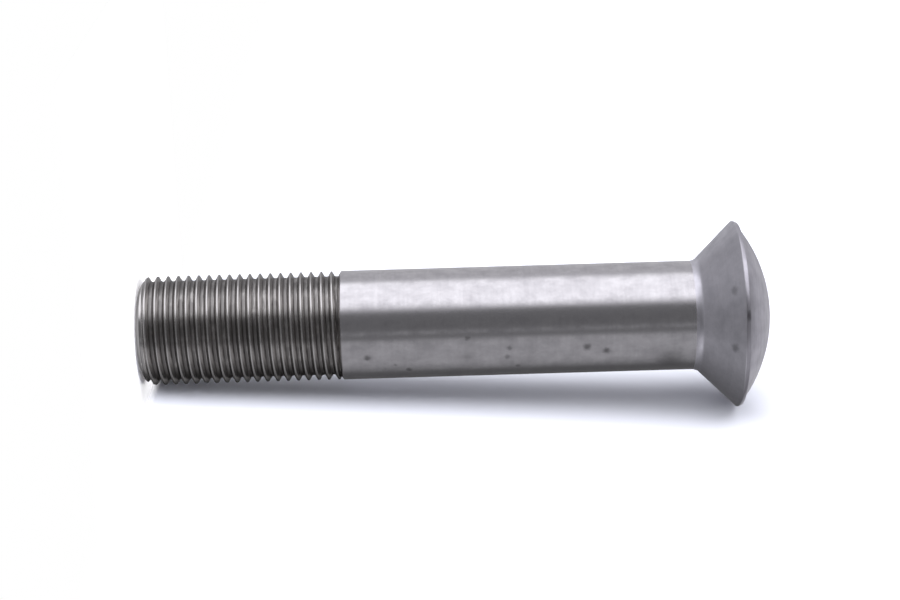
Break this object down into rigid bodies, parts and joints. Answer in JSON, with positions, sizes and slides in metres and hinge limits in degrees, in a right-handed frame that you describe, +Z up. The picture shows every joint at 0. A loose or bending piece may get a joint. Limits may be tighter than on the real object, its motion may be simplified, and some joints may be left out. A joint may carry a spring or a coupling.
{
  "type": "shock absorber bolt",
  "caption": "Plain-shank steel bolt with a fine right-hand thread at one end and a domed head on a conical seat, for holding a shock absorber's eye.",
  "frame": {"origin": "on the floor, at the middle of the end face that the bolt stands on", "axes": "+Z up the bolt's own axis towards the head, +X and +Y level. The thread starts 10 degrees round from +X."},
  "size_m": [0.0274, 0.0274, 0.0923],
  "materials": {
    "steel": "turned bare steel, satin, with a trace of oil in the thread"
  },
  "bodies": {
    "root": {"bolt": "steel"}
  },
  "joints": []
}
